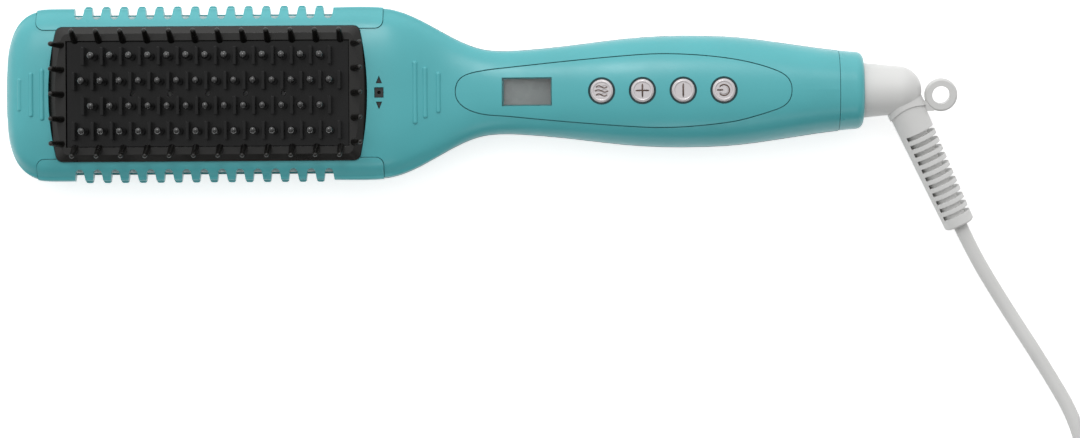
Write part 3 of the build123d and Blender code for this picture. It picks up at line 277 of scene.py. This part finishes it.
# ---- materials ----
TEAL = (0.075, 0.39, 0.42)
MATERIALS = {
    "teal_case": moulded("teal_case", TEAL, 0.30, 0.36),
    "teal_trim": moulded("teal_trim", (0.080, 0.40, 0.43), 0.27, 0.33),
    "teal_fascia": moulded("teal_fascia", TEAL, 0.28, 0.34),
    "dark_teal": moulded("dark_teal", (0.004, 0.045, 0.05), 0.25, 0.35),
    "button_silver": moulded("button_silver", (0.60, 0.57, 0.58), 0.22, 0.30, Metallic=0.3),
    "display_glass": moulded("display_glass", (0.47, 0.485, 0.48), 0.25, 0.32, change=0.08),
    "black_nylon": moulded(
        "black_nylon", (0.008, 0.0075, 0.0065), 0.24, 0.38, Specular_IOR_Level=0.42
    ),
    "dark_plate": moulded(
        "dark_plate", (0.004, 0.004, 0.0042), 0.16, 0.28, change=0.2, Specular_IOR_Level=0.3
    ),
    "cap_nylon": moulded(
        "cap_nylon", (0.006, 0.006, 0.006), 0.12, 0.18, IOR=1.6, Specular_IOR_Level=0.7
    ),
    "black_plastic": moulded("black_plastic", (0.01, 0.012, 0.012), 0.35, 0.45),
    "circuit_board": moulded("circuit_board", (0.01, 0.10, 0.035), 0.3, 0.4),
    "screw_steel": metal("screw_steel", (0.55, 0.55, 0.56), 0.25, 0.4),
    "ceramic_heater": moulded("ceramic_heater", (0.7, 0.69, 0.64), 0.5, 0.6),
    "spring_steel": metal("spring_steel", (0.5, 0.5, 0.52), 0.2, 0.35),
    "cast_aluminium": metal("cast_aluminium", (0.6, 0.6, 0.61), 0.4, 0.55),
    "glass_bead": moulded("glass_bead", (0.4, 0.08, 0.03), 0.1, 0.2),
    "mica": moulded("mica", (0.5, 0.45, 0.33), 0.35, 0.5, change=0.12),
    "clear_tank": moulded("clear_tank", (0.6, 0.68, 0.7), 0.2, 0.3),
    "silicone": moulded("silicone", (0.62, 0.64, 0.64), 0.4, 0.5),
    "wire_sleeve": moulded("wire_sleeve", (0.5, 0.04, 0.03), 0.35, 0.45),
    "white_plastic": moulded("white_plastic", (0.64, 0.64, 0.63), 0.32, 0.40),
    "boot_rubber": moulded("boot_rubber", (0.64, 0.64, 0.63), 0.42, 0.5, edge=0.35 * MM),
    "cord_pvc": moulded("cord_pvc", (0.60, 0.60, 0.59), 0.38, 0.46),
    "contact_brass": metal("contact_brass", (0.62, 0.45, 0.2), 0.2, 0.35),
}
SUNK_INK = moulded("sunk_ink", (0.10, 0.06, 0.045), 0.4, 0.5)
# painted shadow: the dark colour of the tube that stands for the shadow in the gap between the shells
SEAM_PAINTED_SHADOW = moulded("seam_painted_shadow", (0.010, 0.075, 0.082), 0.6, 0.7)
# painted highlight: the pale colour of the strips that stand for the bright highlight at the notch floors
NOTCH_HIGHLIGHT_WHITE = moulded("notch_highlight_white", (0.80, 0.82, 0.82), 0.2, 0.3)


def window_glass():
    """Clear acrylic over the display."""
    gloss = {"Roughness": 0.06, "IOR": 1.45, "Transmission_Weight": 1.0}
    paint = Paint("display_window", (0.8, 0.82, 0.82), **gloss)
    return paint.clouds(5 * MM, 0.02).material


MATERIALS["display_window"] = window_glass()


def dress_nodes():
    """Every CAD node gets the material of its slot in the record."""
    for entry in frame["record"]["subparts"]:
        piece = nodes[entry["node"]]
        finish = MATERIALS[entry["material_slot"]]
        piece.data.materials.clear()
        piece.data.materials.append(finish)


# ---- mesh helpers ----
def add_object(name, data):
    """A new object in the scene."""
    made = bpy.data.objects.new(name, data)
    bpy.context.scene.collection.objects.link(made)
    return made


def piece_from(name, vertices, faces, material, body):
    """A smooth mesh piece, which rides on a body if one is named."""
    data = bpy.data.meshes.new(name)
    data.from_pydata([tuple(v) for v in vertices], [], faces)
    data.materials.append(material)
    data.shade_smooth()
    made = add_object(name, data)
    if body:
        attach(made, body)
    return made


def nurbs_line(name, points):
    """A smooth curve object with these points as its control points."""
    curve = bpy.data.curves.new(name, "CURVE")
    curve.dimensions = "3D"
    curve.resolution_u = LINE_STEPS
    spline = curve.splines.new("NURBS")
    spline.points.add(len(points) - 1)
    for point, place in zip(spline.points, points):
        point.co = (*place, 1.0)
    spline.order_u = LINE_ORDER
    spline.use_endpoint_u = True
    return add_object(name, curve)


def points_along(line):
    """The curve's points, in order. The curve itself is taken away."""
    data = bpy.data.meshes.new_from_object(line)
    places = [v.co.copy() for v in data.vertices]
    bpy.data.meshes.remove(data)
    bpy.data.objects.remove(line)
    return places


def tube(places, radius, sides):
    """Vertices and faces of a closed tube along the places."""
    tangents = [(b - a).normalized() for a, b in zip(places, places[1:])]
    between = [(a + b).normalized() for a, b in zip(tangents, tangents[1:])]
    tangents = [tangents[0], *between, tangents[-1]]
    across = tangents[0].orthogonal().normalized()
    vertices = []
    for place, tangent in zip(places, tangents):
        across = (across - tangent * across.dot(tangent)).normalized()
        third = tangent.cross(across)
        for k in range(sides):
            turn = 2 * math.pi * k / sides
            vertices.append(place + (across * math.cos(turn) + third * math.sin(turn)) * radius)
    faces = []
    for ring in range(len(places) - 1):
        low = ring * sides
        for k in range(sides):
            after = (k + 1) % sides
            faces.append((low + k, low + after, low + sides + after, low + sides + k))
    last = len(vertices) - sides
    faces.append(tuple(reversed(range(sides))))
    faces.append(tuple(range(last, last + sides)))
    return vertices, faces


# ---- painted seam shadow and painted notch highlights of the casing ----
def parting_line():
    """A fine dark tube between the shells, along the outermost loop of a level cut: painted shadow of a gap at the
    parting line.
    """
    cut = bmesh.new()
    cut.from_mesh(nodes["back_shell"].data)
    bmesh.ops.remove_doubles(cut, verts=cut.verts, dist=WELD)
    geometry = [*cut.verts, *cut.edges, *cut.faces]
    plane = {"plane_co": (0, 0, PARTING_Z), "plane_no": (0, 0, 1)}
    bmesh.ops.bisect_plane(cut, geom=geometry, clear_inner=True, clear_outer=True, **plane)
    loops = []
    unseen = set(cut.verts)
    while unseen:
        walk = [unseen.pop()]
        while True:
            ahead = [e.other_vert(walk[-1]) for e in walk[-1].link_edges]
            ahead = [v for v in ahead if v in unseen]
            if not ahead:
                break
            unseen.discard(ahead[0])
            walk.append(ahead[0])
        loops.append([v.co.copy() for v in walk])
    cut.free()
    widest = max(loops, key=lambda loop: max(v.x for v in loop) - min(v.x for v in loop))
    # painted shadow: a dark tube laid where the seam between the shells would lie in shade
    vertices, faces = tube(widest, PARTING_RADIUS, PARTING_SIDES)
    piece_from("parting_line", vertices, faces, SEAM_PAINTED_SHADOW, "body")


def notch_highlight_strips():
    """A pale strip behind each comb strip's teeth, seen at the floor of each notch as a painted highlight."""
    turns = [math.radians(90 * k / NOTCH_STRIP_STEPS) for k in range(NOTCH_STRIP_STEPS + 1)]
    corner = (NOTCH_STRIP_OUTER - NOTCH_STRIP_ROUND, NOTCH_STRIP_TOP - NOTCH_STRIP_ROUND)
    rounded = [
        (corner[0] + NOTCH_STRIP_ROUND * math.cos(a), corner[1] + NOTCH_STRIP_ROUND * math.sin(a)) for a in turns
    ]
    for name, side in (("upper", 1), ("lower", -1)):
        low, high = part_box(f"{name}_comb_strip")
        outline = [(NOTCH_STRIP_INNER, NOTCH_STRIP_TOP), (NOTCH_STRIP_INNER, low[2]), (NOTCH_STRIP_OUTER, low[2]), *rounded]
        count = len(outline)
        vertices = []
        for x in (low[0] + NOTCH_STRIP_INSET, high[0] - NOTCH_STRIP_INSET):
            vertices += [(x, side * y, z) for y, z in outline]
        faces = [(k, (k + 1) % count, count + (k + 1) % count, count + k) for k in range(count)]
        faces += [tuple(range(count)), tuple(range(count, 2 * count))]
        # painted highlight: a pale strip that shows as the highlight at each notch floor
        piece_from(f"{name}_notch_highlight", vertices, faces, NOTCH_HIGHLIGHT_WHITE, "body")


# ---- button faces ----
def face_frame(name):
    """A button's top: the turn to its across, ahead and outward directions, and its centre."""
    joint = next(entry for entry in frame["joints"] if entry["child"] == name)
    outwards = -Vector(joint["axis"]).normalized()
    across = Vector((0, 1, 0))
    ahead = outwards.cross(across)
    places = [v.co for v in nodes[name].data.vertices]
    top = max(outwards.dot(v) for v in places)
    face = [v for v in places if outwards.dot(v) > top - FACE_DEPTH]
    reach = [ahead.dot(v) for v in face]
    width = [v.y for v in face]
    middle = (max(reach) + min(reach)) / 2
    centre = ahead * middle + outwards * top + across * (max(width) + min(width)) / 2
    return Matrix((across, ahead, outwards)).transposed().to_4x4(), centre


def lathe(profile, sides):
    """A closed ring of revolution about Z from a closed profile of (radius, height)."""
    count = len(profile)
    vertices = []
    for k in range(sides):
        turn = 2 * math.pi * k / sides
        vertices += [(r * math.cos(turn), r * math.sin(turn), z) for r, z in profile]
    faces = []
    for k in range(sides):
        low = k * count
        after = (k + 1) % sides * count
        for j in range(count):
            step = (j + 1) % count
            faces.append((low + j, after + j, after + step, low + step))
    return vertices, faces


def symbol_strokes(kind):
    """Lines of a button's generic symbol, in millimetres, with its top towards the head."""
    half = SIGN_HALF
    upright = [(0, half), (0, -half)]
    if kind == "minus":
        return [[(half, 0), (-half, 0)]]
    if kind == "plus":
        return [upright, [(half, 0), (-half, 0)]]
    if kind == "power":
        angles = [POWER_START + POWER_SWEEP * k / POWER_STEPS for k in range(POWER_STEPS + 1)]
        ring = [math.radians(angle) for angle in angles]
        radius = half * POWER_SHARE
        stem = [(0, half), (0, POWER_STEM_END)]
        return [[(radius * math.cos(a), radius * math.sin(a)) for a in ring], stem]
    steps = [k / WAVE_STEPS for k in range(WAVE_STEPS + 1)]
    swings = [WAVE_SWING * math.sin(2 * math.pi * u) for u in steps]
    waves = []
    for middle in (-WAVE_GAP, 0, WAVE_GAP):
        reach = half - WAVE_SHORTER * abs(middle)
        waves.append([(middle + swing, reach * (1 - 2 * u)) for swing, u in zip(swings, steps)])
    return waves


def button_faces():
    """A raised rim and a thin, low symbol on each button."""
    rim = [
        (RIM_OUTER, 0),
        (RIM_OUTER - RIM_OUTER_STEP, RIM_HIGH * RIM_OUTER_SHARE),
        (RIM_PEAK, RIM_HIGH),
        (RIM_INNER + RIM_INNER_STEP, RIM_HIGH * RIM_INNER_SHARE),
        (RIM_INNER, 0),
        (RIM_INNER, RIM_FOOT),
        (RIM_OUTER, RIM_FOOT),
    ]
    silver = MATERIALS["button_silver"]
    for kind in ("steam", "plus", "minus", "power"):
        name = f"{kind}_button"
        turn, centre = face_frame(name)
        place = Matrix.Translation(centre) @ turn @ Matrix.Scale(MM, 4)
        vertices, faces = lathe(rim, RIM_SIDES)
        vertices = [place @ Vector(v) for v in vertices]
        piece_from(f"{kind}_rim", vertices, faces, silver, name)
        for k, stroke in enumerate(symbol_strokes(kind)):
            line = [place @ Vector((x, y, -FACE_SINK)) for x, y in stroke]
            vertices, faces = tube(line, STROKE / 2 * MM, SIGN_SIDES)
            piece_from(f"{kind}_sign_{k}", vertices, faces, SUNK_INK, name)


# ---- the mains lead ----
def coil_points():
    """Lower layer wound inwards from the left, then the upper layer wound outwards."""
    turn = 2 * math.pi / COIL_STEPS
    steps = round(COIL_TURNS * COIL_STEPS)
    points = []
    for k in range(2 * steps + 1):
        inwards = k if k <= steps else 2 * steps - k
        radius = COIL_RADIUS - COIL_PITCH * inwards / COIL_STEPS
        angle = math.pi + k * turn
        climb = min(max((k - steps) / CLIMB_STEPS + 0.5, 0), 1)
        z = LEAD_REST + (UPPER_LAYER - LEAD_REST) * climb
        x = COIL_CENTRE[0] + radius * math.cos(angle)
        points.append((x, COIL_CENTRE[1] + radius * math.sin(angle), z))
    return points


def lead_points():
    """The lead's control points from the boot's tip to the plug, in metres."""
    route = [*LEAD_ROUTE, *coil_points(), *TAIL_ROUTE]
    return [Vector(place) * MM for place in route]


def mains_lead():
    """The whole lead as one tube that bends between the swivel and where it lies."""
    places = points_along(nurbs_line("lead_line", lead_points()))
    vertices, faces = tube(places, LEAD_RADIUS, LEAD_SIDES)
    lead = piece_from("lead_tube", vertices, faces, MATERIALS["cord_pvc"], None)
    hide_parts("mains_cord", "cord_coil", "cord_tail")
    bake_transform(lead)


# ---- studio ----
def area_lamp(name, place, size, power):
    """A soft lamp that faces the middle of the object."""
    light = bpy.data.lights.new(name, "AREA")
    light.shape = "RECTANGLE"
    light.size, light.size_y = size
    light.energy = power
    lamp = add_object(name, light)
    lamp.location = place
    lamp.rotation_euler = (-Vector(place)).to_track_quat("-Z", "Y").to_euler()
    lamp.visible_camera = False


def white_floor():
    """A pale floor that looks white to the camera and keeps the object's soft shadow."""
    data = bpy.data.meshes.new("floor")
    corners = [(x * FLOOR_HALF, y * FLOOR_HALF, 0) for x, y in ((-1, -1), (1, -1), (1, 1), (-1, 1))]
    data.from_pydata(corners, [], [(0, 1, 2, 3)])
    floor = add_object("floor", data)
    floor.location.z = -FLOOR_DROP
    paint = Paint("floor", (0.80, 0.80, 0.80), Roughness=0.9)
    path = paint.add("ShaderNodeLightPath")
    seen = paint.add("ShaderNodeMath", operation="MAXIMUM")
    paint.link(path.outputs["Is Camera Ray"], seen.inputs[0])
    paint.link(path.outputs["Is Glossy Ray"], seen.inputs[1])
    glow = paint.between(seen.outputs[0], 0.0, FLOOR_GLOW, 0.0, 1.0)
    paint.set("Emission Color", (1.0, 1.0, 1.0, 1.0))
    paint.link(glow, paint.shader.inputs["Emission Strength"])
    data.materials.append(paint.material)


def sky():
    """Soft light from all round, stronger from one side, and white where the camera sees it."""
    world = bpy.data.worlds.new("studio")
    world.use_nodes = True
    tree = world.node_tree
    add = tree.nodes.new
    across = add("ShaderNodeVectorMath")
    across.operation = "DOT_PRODUCT"
    across.inputs[1].default_value = SKY_ACROSS
    tree.links.new(add("ShaderNodeTexCoord").outputs["Generated"], across.inputs[0])
    slope = add("ShaderNodeMapRange")
    set_range(slope, (-1, 1, *SKY_RANGE))
    tree.links.new(across.outputs["Value"], slope.inputs["Value"])
    seen = add("ShaderNodeMath")
    seen.operation = "MAXIMUM"
    tree.links.new(slope.outputs["Result"], seen.inputs[0])
    tree.links.new(add("ShaderNodeLightPath").outputs["Is Camera Ray"], seen.inputs[1])
    tree.links.new(seen.outputs[0], tree.nodes["Background"].inputs["Strength"])
    tree.nodes["Background"].inputs["Color"].default_value = (1.0, 1.0, 1.0, 1.0)
    bpy.context.scene.world = world


def studio():
    sky()
    area_lamp("key", KEY_PLACE, KEY_SIZE, KEY_POWER)
    area_lamp("fill", FILL_PLACE, FILL_SIZE, FILL_POWER)
    white_floor()


def camera():
    """Looks straight down, with the image's axes turned a little about the line of sight."""
    right = Vector((1, -ROLL, 0)).normalized()
    up = Vector((ROLL, 1, 0)).normalized()
    across = IMAGE_WIDTH / 2 - ORIGIN_U
    rise = ORIGIN_V - IMAGE_HEIGHT / 2
    aim = (right * across + up * rise) * PIXEL
    data = bpy.data.cameras.new("camera")
    data.sensor_fit = "HORIZONTAL"
    data.sensor_width = SENSOR
    data.lens = SENSOR * EYE_DISTANCE / (IMAGE_WIDTH * PIXEL)
    data.clip_start = CLIP_NEAR
    data.clip_end = CLIP_FAR
    eye = add_object("camera", data)
    eye.location = (aim.x, aim.y, FOCUS_Z + EYE_DISTANCE)
    eye.rotation_euler = Matrix((right, up, right.cross(up))).transposed().to_euler()
    bpy.context.scene.camera = eye
    bpy.context.scene.view_settings.view_transform = "Standard"


def main():
    camera()
    studio()
    dress_nodes()
    parting_line()
    notch_highlight_strips()
    button_faces()
    mains_lead()


main()
